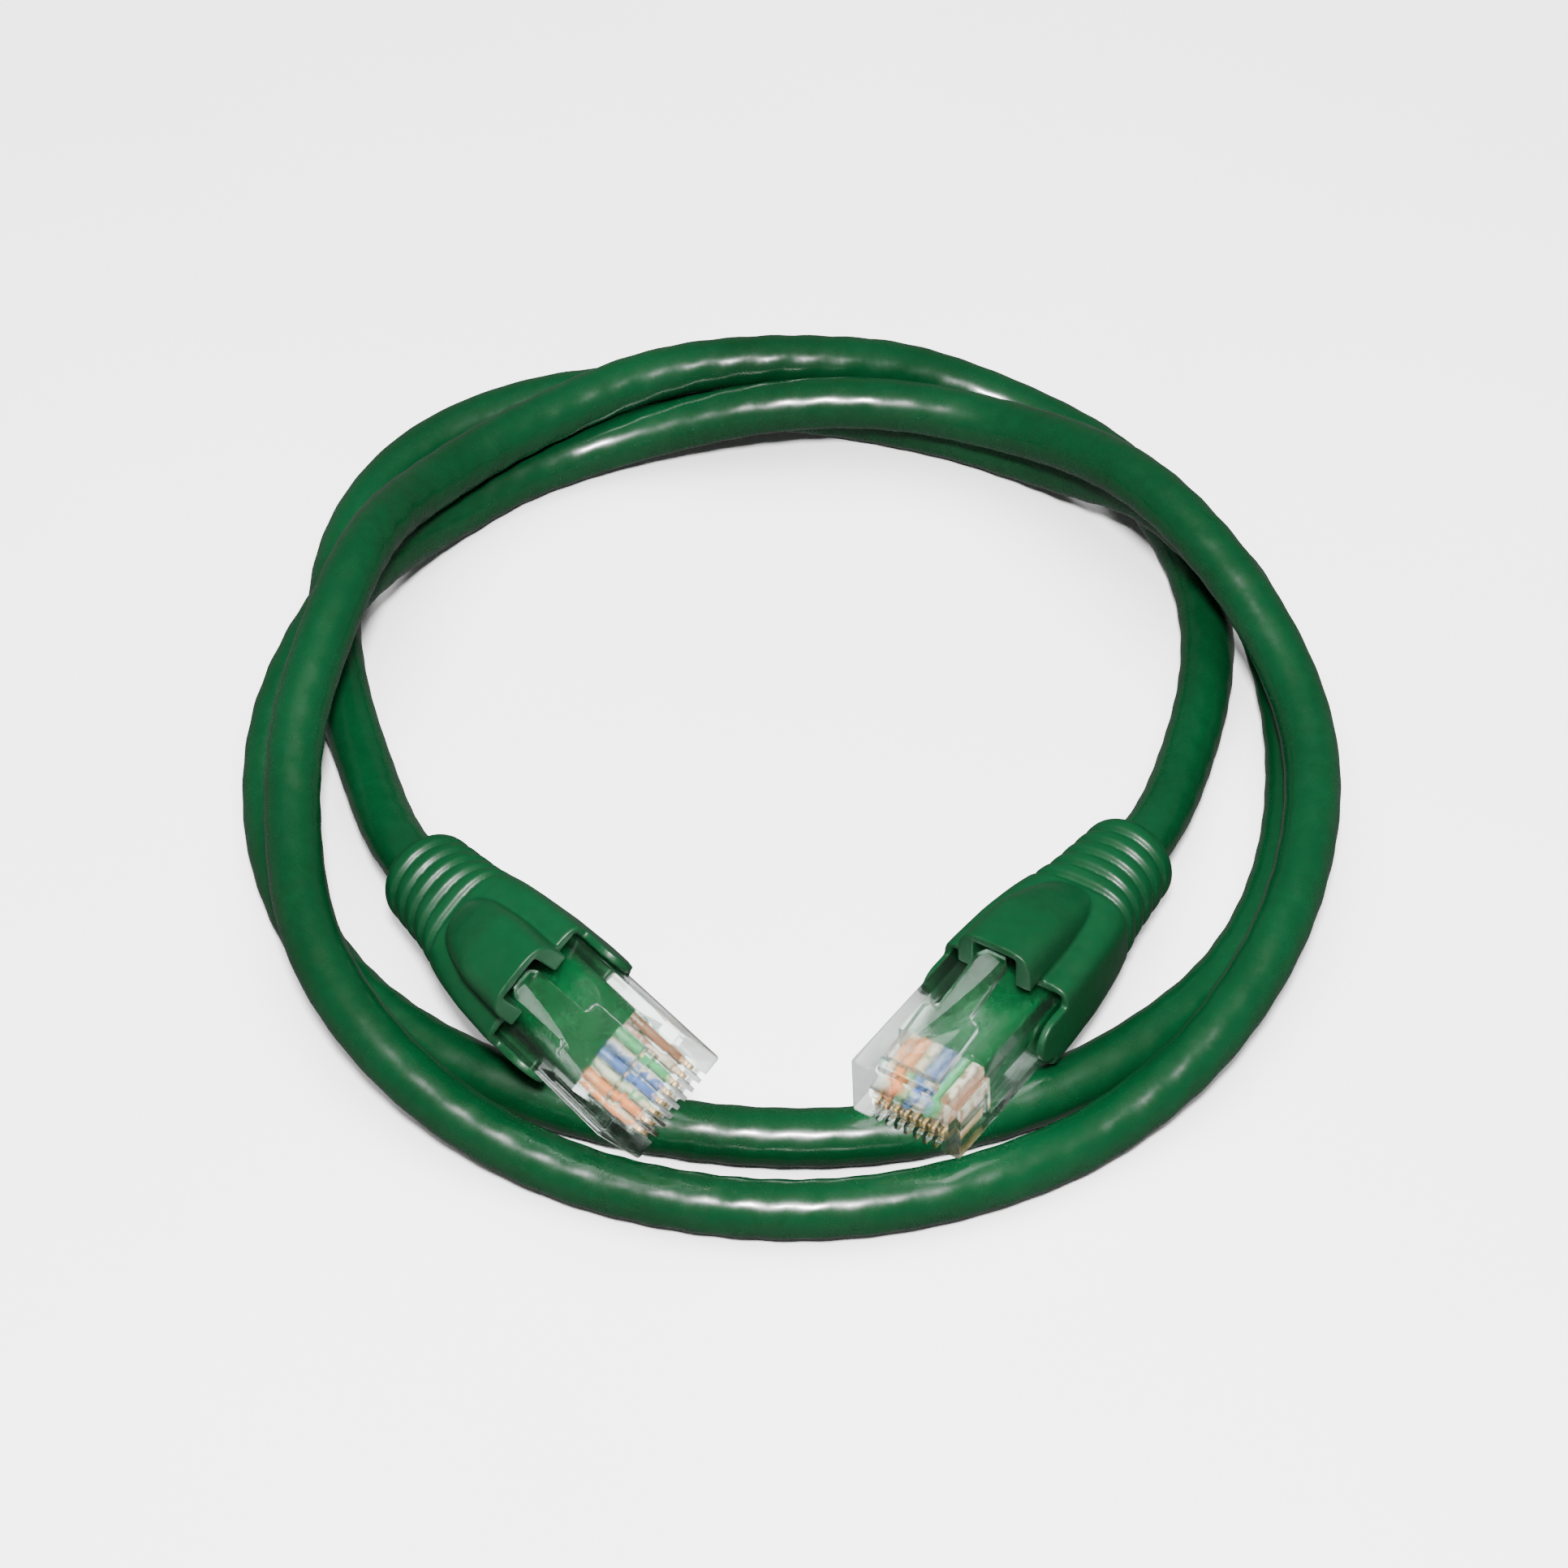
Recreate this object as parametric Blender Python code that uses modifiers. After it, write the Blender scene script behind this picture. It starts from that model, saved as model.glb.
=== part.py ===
"""Ethernet patch cable, 0.9 m, coiled on a table, with two snagless modular plugs.

Sizes are in millimetres and are scaled to metres when a mesh is made. Each
plug is drawn in its own frame: X towards the nose, Z to the latch side, with
the middle of the nose face at the origin. The contacts face -Z.
"""
import bpy
import bmesh
import numpy as np
from mathutils import Euler, Matrix, Vector

MM = 0.001

# ---- cable
CABLE_R = 2.8            # jacket outside radius
JACKET_WALL = 0.6
NECK_R = 2.45            # jacket squeezed inside the plug housing
WIRE_R = 0.4             # insulated conductor
WIRE_RING = 1.4          # conductors stand on this circle inside the jacket
WIRE_RING_NECK = 1.2
CHORD_SAG = 0.3          # faceting allowed along a bend
STRAND_GAP = 5.75        # least distance between the middles of two strands
SETTLE_STEP = 1.5
SETTLE_ROUNDS = 120

# ---- coil: angle in degrees, radius and height about COIL_CENTRE
COIL_CENTRE = (0.0, 4.5)
COIL = [
    (185, 41.8, 3.4), (174, 44.6, 2.8), (163, 48.6, 2.8), (149, 54.0, 2.8),
    (135, 56.9, 2.8), (121, 56.0, 2.8), (107, 52.7, 2.8), (92, 48.4, 2.8),
    (76, 47.9, 2.8), (60, 48.1, 2.9), (49, 47.7, 5.2), (39, 48.1, 8.2),
    (28, 49.0, 8.8), (18, 50.6, 7.4), (8, 51.4, 4.0), (-4, 51.2, 2.8),
    (-32, 50.7, 2.8), (-54, 48.4, 2.8), (-76, 46.6, 2.8), (-100, 46.0, 2.8),
    (-124, 47.9, 2.8), (-145, 50.8, 2.8), (-160, 51.6, 2.8), (-172, 51.7, 3.0),
    (-182, 50.9, 5.6), (-191, 49.1, 8.0), (-198, 47.9, 8.8), (-205, 47.3, 7.9),
    (-214, 47.5, 5.2), (-225, 47.6, 2.8), (-239, 46.8, 2.8), (-253, 45.2, 5.2),
    (-268, 43.8, 7.4), (-284, 44.8, 7.9), (-300, 45.9, 8.6), (-314, 45.5, 11.8),
    (-326, 45.5, 14.0), (-338, 46.8, 13.6), (-349, 49.3, 11.2), (-360, 51.6, 8.9),
    (-378, 53.2, 8.4), (-396, 54.3, 7.1), (-416, 54.2, 3.2), (-446, 53.8, 2.8),
    (-470, 53.6, 2.9), (-489, 54.0, 5.8), (-506, 52.9, 8.6), (-522, 50.0, 8.9),
    (-536, 47.9, 11.4), (-547, 46.2, 13.4), (-557, 45.6, 14.6), (-567, 46.3, 13.3),
    (-578, 47.4, 10.2), (-592, 48.0, 8.6), (-612, 48.4, 8.5), (-622, 48.6, 8.8),
    (-636, 49.9, 8.1), (-652, 52.6, 4.4), (-667, 53.8, 2.8), (-681, 51.7, 2.8),
    (-695, 48.2, 2.8), (-709, 43.9, 2.8), (-722, 40.5, 3.4),
]
LAY_SHIFT = (-0.286, -2.971, -0.036)   # puts the middle of its box's base at the origin

# ---- plugs: middle of the nose face, then yaw, pitch and roll in degrees
PLUGS = {
    "a": {"nose": (-11.0, -46.4, 17.3), "turn": (-53.0, 13.1, 30.0)},
    "b": {"nose": (10.9, -44.3, 11.8), "turn": (-125.2, 7.4, 8.0)},
}
BODY_LENGTH = 21.5
BODY_HALF_WIDTH = 5.84
BODY_HALF_HEIGHT = 3.3
BODY_EDGE = 0.3
CAVITY_FRONT = -7.0
CAVITY_HALF = (4.6, 2.75)
CHANNEL = (-7.5, -1.0, 4.25, -1.15, -0.05)   # x0, x1, half width, z0, z1
CONTACT_PITCH = 1.02
CONTACT_THICK = 0.35
SLOT_WIDTH = 0.65
WIRE_Z = -0.6
WIRE_END = -1.4
JACKET_END = -10.2

LATCH_HINGE = (-2.0, 0.0, 4.15)
LATCH_SLOPE = 11.0
LATCH_THICK = 1.0
LATCH_FRONT = -1.35
LATCH_SHOULDER = -8.3
LATCH_TAIL = -15.8
SHOULDER_HALF = 3.0
TAIL_HALF = 1.625

BOOT_REAR = -40.5
BOOT_RIM = -14.5
TONGUE_TIP = -12.7
BOOT_BORE_R = 3.25
BOOT_POCKET = (6.15, 3.6)                    # half width, half height
FIRST_RIB = -38.6
RIB_COUNT = 5
RIB_PITCH = 2.0
RIB_GROOVE = 0.9
RIB_DEPTH = 0.5
RING_SIDES = 20

GREEN = (0.012, 0.145, 0.05)
GREEN_BOOT = (0.014, 0.155, 0.055)
CLEAR = (0.86, 0.9, 0.88)
GOLD = (0.83, 0.62, 0.25)
WIRE_COLOURS = [
    (0.85, 0.55, 0.35), (0.85, 0.22, 0.02), (0.45, 0.8, 0.5), (0.02, 0.1, 0.5),
    (0.5, 0.62, 0.85), (0.01, 0.3, 0.06), (0.65, 0.5, 0.4), (0.2, 0.08, 0.03),
]

for old in list(bpy.data.objects):
    bpy.data.objects.remove(old, do_unlink=True)

parts = bpy.data.collections.new("ethernet_patch_cable")
helpers = bpy.data.collections.new("cutters")
bpy.context.scene.collection.children.link(parts)
bpy.context.scene.collection.children.link(helpers)
helpers.hide_render = True


def material(name, colour, roughness, metallic=0.0, alpha=1.0):
    made = bpy.data.materials.new(name)
    made.use_nodes = True
    shader = made.node_tree.nodes["Principled BSDF"]
    shader.inputs["Base Color"].default_value = (*colour, 1.0)
    shader.inputs["Roughness"].default_value = roughness
    shader.inputs["Metallic"].default_value = metallic
    shader.inputs["Alpha"].default_value = alpha
    return made


JACKET_PVC = material("jacket_pvc", GREEN, 0.25)
BOOT_PVC = material("boot_pvc", GREEN_BOOT, 0.42)
CLEAR_PC = material("clear_polycarbonate", CLEAR, 0.08, alpha=0.35)
GOLD_PLATE = material("gold_plate", GOLD, 0.25, metallic=1.0)
WIRE_PE = [
    material(f"wire_pe_{k + 1}", colour, 0.4)
    for k, colour in enumerate(WIRE_COLOURS)
]


def add(name, mesh, paint=None, parent=None):
    """A part when it has a material, a cutter when it has none."""
    obj = bpy.data.objects.new(name, mesh)
    if paint is None:
        helpers.objects.link(obj)
        obj.hide_render = True
        obj.display_type = "WIRE"
    else:
        parts.objects.link(obj)
        mesh.materials.clear()
        mesh.materials.append(paint)
    obj.parent = parent
    return obj


def weld_and_turn_out(mesh):
    work = bmesh.new()
    work.from_mesh(mesh)
    bmesh.ops.remove_doubles(work, verts=work.verts, dist=1e-6)
    bmesh.ops.recalc_face_normals(work, faces=work.faces)
    work.to_mesh(mesh)
    work.free()
    return mesh


def box(name, x, y, z):
    """The mesh of a box between two limits on each axis, in millimetres."""
    work = bmesh.new()
    bmesh.ops.create_cube(work, size=1.0)
    for vert in work.verts:
        for axis, limits in enumerate((x, y, z)):
            low, high = limits
            vert.co[axis] = MM * ((low + high) / 2 + vert.co[axis] * (high - low))
    mesh = bpy.data.meshes.new(name)
    work.to_mesh(mesh)
    work.free()
    return mesh


def plate(name, outline, thick, turn):
    """The mesh of a flat outline given a thickness about its own plane."""
    curve = bpy.data.curves.new(name, "CURVE")
    curve.dimensions = "2D"
    curve.fill_mode = "BOTH"
    curve.extrude = MM * thick / 2
    line = curve.splines.new("POLY")
    line.points.add(len(outline) - 1)
    for point, (u, v) in zip(line.points, outline):
        point.co = (MM * u, MM * v, 0.0, 1.0)
    line.use_cyclic_u = True
    mesh = mesh_of_curve(name, curve)
    mesh.transform(turn)
    return weld_and_turn_out(mesh)


def mesh_of_curve(name, curve):
    obj = bpy.data.objects.new(name, curve)
    helpers.objects.link(obj)
    bpy.context.view_layer.update()
    graph = bpy.context.evaluated_depsgraph_get()
    mesh = bpy.data.meshes.new_from_object(obj.evaluated_get(graph))
    mesh.name = name
    bpy.data.objects.remove(obj, do_unlink=True)
    bpy.data.curves.remove(curve)
    return mesh


STAND_IN_XZ = Matrix.Rotation(np.pi / 2, 4, "X")


def tube(name, centres, radii, detail, caps):
    """The mesh of a round tube through points, with its own radius at each."""
    curve = bpy.data.curves.new(name, "CURVE")
    curve.dimensions = "3D"
    curve.fill_mode = "FULL"
    curve.bevel_depth = MM
    curve.bevel_resolution = detail
    curve.use_fill_caps = caps
    line = curve.splines.new("POLY")
    line.points.add(len(centres) - 1)
    for point, centre, radius in zip(line.points, centres, radii):
        point.co = (*(MM * centre), 1.0)
        point.radius = radius
    mesh = mesh_of_curve(name, curve)
    if caps:
        weld_and_turn_out(mesh)
    return mesh


def boolean(obj, cutter, operation="DIFFERENCE"):
    step = obj.modifiers.new(cutter.name, "BOOLEAN")
    step.operation = operation
    step.solver = "EXACT"
    step.object = cutter
    return step


def smooth(obj, angle):
    """Smooth shading on round work, with the edges past an angle kept sharp."""
    obj.data.shade_smooth()
    obj.data.set_sharp_from_angle(angle=np.radians(angle))


def turned(plug):
    yaw, pitch, roll = np.radians(plug["turn"])
    return Euler((roll, -pitch, yaw), "XYZ").to_matrix()


def straight(plug):
    """The plug's frame before its roll: only its X axis matters to the cable."""
    return np.array(turned(plug))[:, 0]


# ---------------------------------------------------------------- the route


def spline(points, first, last, step):
    """A cubic through points, with its direction given at both ends."""
    count = len(points)
    gaps = np.linalg.norm(np.diff(points, axis=0), axis=1)
    slopes = np.diff(points, axis=0) / gaps[:, None]
    matrix = np.zeros((count, count))
    right = np.zeros((count, 3))
    for i in range(1, count - 1):
        matrix[i, i - 1:i + 2] = gaps[i - 1], 2 * (gaps[i - 1] + gaps[i]), gaps[i]
        right[i] = 6 * (slopes[i] - slopes[i - 1])
    matrix[0, :2] = 2 * gaps[0], gaps[0]
    right[0] = 6 * (slopes[0] - first)
    matrix[-1, -2:] = gaps[-1], 2 * gaps[-1]
    right[-1] = 6 * (last - slopes[-1])
    bend = np.linalg.solve(matrix, right)
    made = []
    for i, gap in enumerate(gaps):
        for along in np.linspace(0, gap, max(2, int(gap / step)), endpoint=False):
            left = gap - along
            made.append(
                (bend[i] * left**3 + bend[i + 1] * along**3) / (6 * gap)
                + (points[i] / gap - bend[i] * gap / 6) * left
                + (points[i + 1] / gap - bend[i + 1] * gap / 6) * along
            )
    made.append(points[-1])
    return np.array(made)


def evenly(line, step):
    run = np.r_[0, np.cumsum(np.linalg.norm(np.diff(line, axis=0), axis=1))]
    places = np.linspace(0, run[-1], int(round(run[-1] / step)) + 1)
    return np.stack([np.interp(places, run, line[:, k]) for k in range(3)], 1)


def settle(line):
    """Pushes strands apart where they would share a place, and off the floor."""
    line = evenly(line, SETTLE_STEP)
    count = len(line)
    place = np.arange(count)
    same_strand = np.abs(place[:, None] - place[None]) < 12
    blur = np.hanning(9)[1:-1]
    blur /= blur.sum()
    for _ in range(SETTLE_ROUNDS):
        gap = np.linalg.norm(line[:, None] - line[None], axis=2)
        gap[same_strand] = STRAND_GAP
        one, other = np.nonzero(gap < STRAND_GAP)
        near = gap[one, other]
        push = (line[one] - line[other]) * ((STRAND_GAP - near) / near)[:, None]
        times = np.maximum(np.bincount(one, minlength=count), 1)
        for k in range(3):
            share = np.bincount(one, weights=push[:, k], minlength=count) / times
            share = np.convolve(np.pad(share, 3, "edge"), blur, "valid")
            line[3:-3, k] += 0.75 * share[3:-3]
        line[:, 2] = np.maximum(line[:, 2], CABLE_R)
    return line


def in_plug(plug, x):
    return np.array(plug["nose"]) + straight(plug) * x


def route():
    """The cable's middle line between the rear ends of the two boots."""
    points = [in_plug(PLUGS["a"], BOOT_REAR)]
    for angle, radius, height in COIL:
        turn = np.radians(angle)
        points.append(np.array([
            COIL_CENTRE[0] + radius * np.cos(turn),
            COIL_CENTRE[1] + radius * np.sin(turn),
            height,
        ]))
    points.append(in_plug(PLUGS["b"], BOOT_REAR))
    line = spline(
        np.array(points), -straight(PLUGS["a"]), straight(PLUGS["b"]), 0.5
    )
    return settle(line)


def stations(line):
    """Points along the route, closer together where it bends more."""
    run = np.r_[0, np.cumsum(np.linalg.norm(np.diff(line, axis=0), axis=1))]
    even = np.arange(0, run[-1], 1.0)
    fine = np.stack([np.interp(even, run, line[:, k]) for k in range(3)], 1)
    heading = np.gradient(fine, axis=0)
    heading /= np.linalg.norm(heading, axis=1)[:, None]
    curl = np.linalg.norm(np.gradient(heading, axis=0), axis=1)
    curl = np.convolve(curl, np.ones(5) / 5, "same")
    radius = 1 / np.maximum(curl, 1 / 80)
    places = [0.0]
    while places[-1] < run[-1]:
        here = int(places[-1])
        tight = radius[here:here + 10].min()
        places.append(places[-1] + np.sqrt(8 * tight * CHORD_SAG))
    places = np.array(places) * run[-1] / places[-1]
    return np.stack([np.interp(places, run, line[:, k]) for k in range(3)], 1)


middle = stations(route())
NECK_PLACES = (JACKET_END, -15.5, -21.9, -23.2)
ends = {
    side: np.array([in_plug(plug, x) for x in NECK_PLACES])
    for side, plug in PLUGS.items()
}
path = np.vstack([ends["a"], middle, ends["b"][::-1]])
neck = np.array([1.0, 1.0, 1.0, 0.0])
squeeze = np.concatenate([neck, np.zeros(len(middle)), neck[::-1]])


# ------------------------------------------------- the jacket and its wires

lay = bpy.data.objects.new("lay", None)
parts.objects.link(lay)
lay.location = MM * Vector(LAY_SHIFT)

jacket_mesh = tube(
    "cable_jacket", path, CABLE_R + (NECK_R - CABLE_R) * squeeze, 3, False
)
jacket = add("cable_jacket", jacket_mesh, JACKET_PVC, lay)
wall = jacket.modifiers.new("wall", "SOLIDIFY")
wall.thickness = MM * JACKET_WALL
wall.offset = -1.0
smooth(jacket, 60)


def frames(line, first_up, last_up):
    """Two side directions at each point, carried along with no twist of their
    own and then turned evenly so that they end on last_up."""
    heading = np.gradient(line, axis=0)
    heading /= np.linalg.norm(heading, axis=1)[:, None]
    ups = []
    up = first_up
    for direction in heading:
        up = up - direction * (up @ direction)
        up = up / np.linalg.norm(up)
        ups.append(up)
    ups = np.array(ups)
    sides = np.cross(ups, heading)
    final = last_up - heading[-1] * (last_up @ heading[-1])
    miss = np.arctan2(final @ sides[-1], final @ ups[-1])
    turn = miss * np.linspace(0, 1, len(line))[:, None]
    up_turned = np.cos(turn) * ups + np.sin(turn) * sides
    return up_turned, np.cross(up_turned, heading)


up_a = np.array(turned(PLUGS["a"]))[:, 2]
up_b = np.array(turned(PLUGS["b"]))[:, 2]
# The second plug meets the bundle turned half round, so that each conductor
# ends at the same pin in both plugs without crossing its neighbours.
ring_up, ring_side = frames(path, up_a, -up_b)
ring_r = WIRE_RING + (WIRE_RING_NECK - WIRE_RING) * squeeze


def fan_out(plug, number, flip):
    """From the ring to the row of contacts: first sideways, then into line."""
    y = (number - 4.5) * CONTACT_PITCH
    level = flip * (0.54 if number % 2 else -0.54) * (
        2.0 if number in (3, 4, 5, 6) else 1.0
    )
    level = level * WIRE_RING_NECK / WIRE_RING
    frame = np.array(turned(plug))
    places = [(-8.3, y, level), (-7.3, y, WIRE_Z), (WIRE_END, y, WIRE_Z)]
    return [np.array(plug["nose"]) + frame @ np.array(p) for p in places]


for number in range(1, 9):
    slot = (number - 1) // 2
    angle = np.radians(157.5 - 45 * slot)
    across = np.cos(angle)
    above = np.sin(angle) if number % 2 else -np.sin(angle)
    # Looking from plug a along the cable, its +Y side lies on the -side hand.
    hand = np.sign(ring_side[0] @ np.array(turned(PLUGS["a"]))[:, 1])
    ring = path + ring_r[:, None] * (
        above * ring_up + hand * across * ring_side
    )
    line = np.vstack([
        fan_out(PLUGS["a"], number, 1)[::-1],
        ring,
        fan_out(PLUGS["b"], number, -1),
    ])
    wire = tube(f"wire_{number}", line, np.full(len(line), WIRE_R), 0, True)
    smooth(add(f"wire_{number}", wire, WIRE_PE[number - 1], lay), 60)


# ------------------------------------------------------------- one plug


def housing(side, frame):
    body = box(
        "body", (-BODY_LENGTH, 0), (-BODY_HALF_WIDTH, BODY_HALF_WIDTH),
        (-BODY_HALF_HEIGHT, BODY_HALF_HEIGHT),
    )
    obj = add(f"plug_housing_{side}", body, CLEAR_PC, frame)
    edge = obj.modifiers.new("edge", "BEVEL")
    edge.width = MM * BODY_EDGE
    edge.segments = 1
    root = add(
        f"root_{side}",
        plate(
            "latch_root",
            [(-1.05, 2.9), (-1.05, 4.55), (-0.55, 4.55), (-0.25, 4.0), (-0.25, 2.9)],
            2 * SHOULDER_HALF, STAND_IN_XZ,
        ),
        parent=frame,
    )
    boolean(obj, root, "UNION")
    hollows = {
        "cavity": (
            (-BODY_LENGTH - 1, CAVITY_FRONT),
            (-CAVITY_HALF[0], CAVITY_HALF[0]), (-CAVITY_HALF[1], CAVITY_HALF[1]),
        ),
        "channel": (
            CHANNEL[:2], (-CHANNEL[2], CHANNEL[2]), CHANNEL[3:],
        ),
        "relief": ((-16.0, -11.5), (-3.2, 3.2), (-4.0, -3.0)),
    }
    for what, limits in hollows.items():
        boolean(obj, add(f"{what}_{side}", box(what, *limits), parent=frame))
    slot = plate(
        "contact_slot",
        [(-6.0, -4.0), (0.5, -4.0), (0.5, -2.3), (-0.8, -2.0), (-0.8, -0.9),
         (-6.0, -0.9)],
        SLOT_WIDTH, STAND_IN_XZ,
    )
    slots = add(f"slots_{side}", slot, parent=frame)
    slots.location.y = -3.5 * MM * CONTACT_PITCH
    row = slots.modifiers.new("row", "ARRAY")
    row.count = 8
    row.use_relative_offset = False
    row.use_constant_offset = True
    row.constant_offset_displace = (0.0, MM * CONTACT_PITCH, 0.0)
    boolean(obj, slots)
    return obj


def latch(side, frame):
    hinge_x, _, hinge_z = LATCH_HINGE
    tee = [
        (LATCH_FRONT, -SHOULDER_HALF), (LATCH_FRONT, SHOULDER_HALF),
        (LATCH_SHOULDER, SHOULDER_HALF), (LATCH_SHOULDER, TAIL_HALF),
        (LATCH_TAIL + 0.8, TAIL_HALF), (LATCH_TAIL, TAIL_HALF - 0.6),
        (LATCH_TAIL, -TAIL_HALF + 0.6), (LATCH_TAIL + 0.8, -TAIL_HALF),
        (LATCH_SHOULDER, -TAIL_HALF), (LATCH_SHOULDER, -SHOULDER_HALF),
    ]
    outline = [(x - hinge_x, y) for x, y in tee]
    slope = Matrix.Rotation(np.radians(LATCH_SLOPE), 4, "Y")
    mesh = plate("latch", outline, LATCH_THICK, slope)
    obj = add(f"latch_{side}", mesh, CLEAR_PC, frame)
    obj.location = MM * Vector((hinge_x, 0.0, hinge_z))
    return obj


def contacts(side, frame):
    blade = plate(
        "contact_blade",
        [(-5.6, -2.75), (-1.6, -2.75), (-1.15, -2.3), (-1.15, -1.7),
         (-1.9, -1.32), (-2.6, -1.62), (-4.2, -1.62), (-4.9, -1.32),
         (-5.6, -1.62)],
        CONTACT_THICK, STAND_IN_XZ,
    )
    for number in range(1, 9):
        obj = add(f"contact_{number}_{side}", blade, GOLD_PLATE, frame)
        obj.location.y = MM * (number - 4.5) * CONTACT_PITCH


def ring_of(half_y, low_z, high_z, corner, sides):
    """Points round a rounded rectangle; corner 2 gives an ellipse and larger
    numbers squarer corners."""
    angles = np.linspace(0, 2 * np.pi, sides, endpoint=False)
    angles = angles + np.pi / sides
    cos, sin = np.cos(angles), np.sin(angles)
    y = half_y * np.sign(cos) * np.abs(cos) ** (2 / corner)
    z = (high_z - low_z) / 2 * np.sign(sin) * np.abs(sin) ** (2 / corner)
    return np.stack([y, z + (high_z + low_z) / 2], 1)


def loft(name, sections, sides):
    """A closed skin over sections (x, half width, low z, high z, corner)."""
    work = bmesh.new()
    rings = []
    for x, half_y, low_z, high_z, corner in sections:
        rings.append([
            work.verts.new((MM * x, MM * y, MM * z))
            for y, z in ring_of(half_y, low_z, high_z, corner, sides)
        ])
    for back, front in zip(rings, rings[1:]):
        for i in range(sides):
            j = (i + 1) % sides
            work.faces.new((back[i], back[j], front[j], front[i]))
    work.faces.new(rings[0])
    work.faces.new(rings[-1])
    bmesh.ops.recalc_face_normals(work, faces=work.faces)
    mesh = bpy.data.meshes.new(name)
    work.to_mesh(mesh)
    work.free()
    return mesh


def boot_sections():
    """The body of the boot from its round tail to its square mouth."""
    made = []
    outline = [
        (-40.5, 4.5, 4.5, 2.0), (-39.9, 4.8, 4.8, 2.0), (-33.0, 5.3, 4.9, 2.3),
        (-30.5, 5.7, 4.7, 2.8), (-27.5, 6.2, 4.5, 4.0), (-23.0, 6.6, 4.4, 6.5),
        (-18.0, 6.8, 4.4, 8.0), (TONGUE_TIP, 6.8, 4.4, 8.0),
    ]
    xs = [row[0] for row in outline]
    table = np.array(outline)[:, 1:]

    def at(x, cut):
        y, z, corner = [np.interp(x, xs, table[:, k]) for k in range(3)]
        return (x, y - cut, -(z - cut), z - cut, corner)

    for x in (BOOT_REAR, BOOT_REAR + 0.6):
        made.append(at(x, 0))
    for k in range(RIB_COUNT):
        start = FIRST_RIB + k * RIB_PITCH
        made.append(at(start, 0))
        made.append(at(start + 0.15, RIB_DEPTH))
        made.append(at(start + RIB_GROOVE - 0.15, RIB_DEPTH))
        made.append(at(start + RIB_GROOVE, 0))
    for x in (-27.5, -23.0, -18.0, TONGUE_TIP):
        made.append(at(x, 0))
    return made


def boot(side, frame):
    obj = add(f"boot_{side}", loft("boot", boot_sections(), RING_SIDES), BOOT_PVC, frame)
    hood_sections = [
        (-30.0, 2.6, 0.5, 4.2, 3.0), (-26.0, 3.4, 0.5, 6.6, 3.4),
        (-21.5, 3.9, 0.5, 8.3, 4.0), (-15.0, 4.0, 0.5, 8.7, 4.0),
    ]
    hood = add(f"hood_{side}", loft("hood", hood_sections, RING_SIDES), parent=frame)
    boolean(obj, hood, "UNION")
    half_y, half_z = BOOT_POCKET
    hollows = {
        "pocket": ((-21.9, -10.0), (-half_y, half_y), (-half_z, half_z)),
        "latch_room": ((-20.0, -10.0), (-2.3, 2.3), (3.0, 7.75)),
        "notch_top": ((-17.0, -10.0), (-8.0, 8.0), (2.3, 4.5)),
        "front_low": ((BOOT_RIM - 0.8, -10.0), (-8.0, 8.0), (-5.0, -2.3)),
    }
    for what, limits in hollows.items():
        cutter = add(f"{what}_{side}", box(what, *limits), parent=frame)
        boolean(obj, cutter)
    tongue = [(-10.0, -2.6), (-10.0, 2.6), (-14.9, 2.6), (-14.9, 2.3)]
    for turn in np.linspace(90, -90, 9):
        angle = np.radians(turn)
        tongue.append((-15.0 + 2.3 * np.cos(angle), 2.3 * np.sin(angle)))
    tongue += [(-14.9, -2.3), (-14.9, -2.6)]
    round_off = add(
        f"tongue_{side}", plate("tongue_round", tongue, 16.0, STAND_IN_XZ), parent=frame
    )
    boolean(obj, round_off)
    bore_line = np.array([(BOOT_REAR - 2, 0, 0), (-21.0, 0, 0)])
    bore = tube("bore", bore_line, (BOOT_BORE_R, BOOT_BORE_R), 6, True)
    boolean(obj, add(f"bore_{side}", bore, parent=frame))
    smooth(obj, 35)
    return obj


for side, plug in PLUGS.items():
    frame = bpy.data.objects.new(f"plug_{side}", None)
    parts.objects.link(frame)
    frame.parent = lay
    frame.location = MM * Vector(plug["nose"])
    frame.rotation_euler = turned(plug).to_euler("XYZ")
    housing(side, frame)
    latch(side, frame)
    contacts(side, frame)
    boot(side, frame)
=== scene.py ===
"""Ethernet patch cable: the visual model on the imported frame, and the studio."""

import bmesh
import bpy
import numpy as np
from mathutils import Euler, Matrix, Vector


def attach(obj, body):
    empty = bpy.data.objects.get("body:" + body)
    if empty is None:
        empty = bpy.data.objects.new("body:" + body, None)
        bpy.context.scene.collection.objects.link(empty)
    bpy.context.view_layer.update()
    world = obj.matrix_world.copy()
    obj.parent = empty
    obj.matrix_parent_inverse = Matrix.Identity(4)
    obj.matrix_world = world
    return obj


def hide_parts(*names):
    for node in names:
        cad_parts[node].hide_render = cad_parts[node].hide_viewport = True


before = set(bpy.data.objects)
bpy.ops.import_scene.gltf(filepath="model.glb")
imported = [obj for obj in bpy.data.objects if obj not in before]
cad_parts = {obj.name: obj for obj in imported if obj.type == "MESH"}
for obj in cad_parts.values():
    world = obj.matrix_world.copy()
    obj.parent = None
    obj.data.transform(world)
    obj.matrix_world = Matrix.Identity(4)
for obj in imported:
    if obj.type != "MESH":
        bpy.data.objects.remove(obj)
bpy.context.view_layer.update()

MM = 0.001

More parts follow.
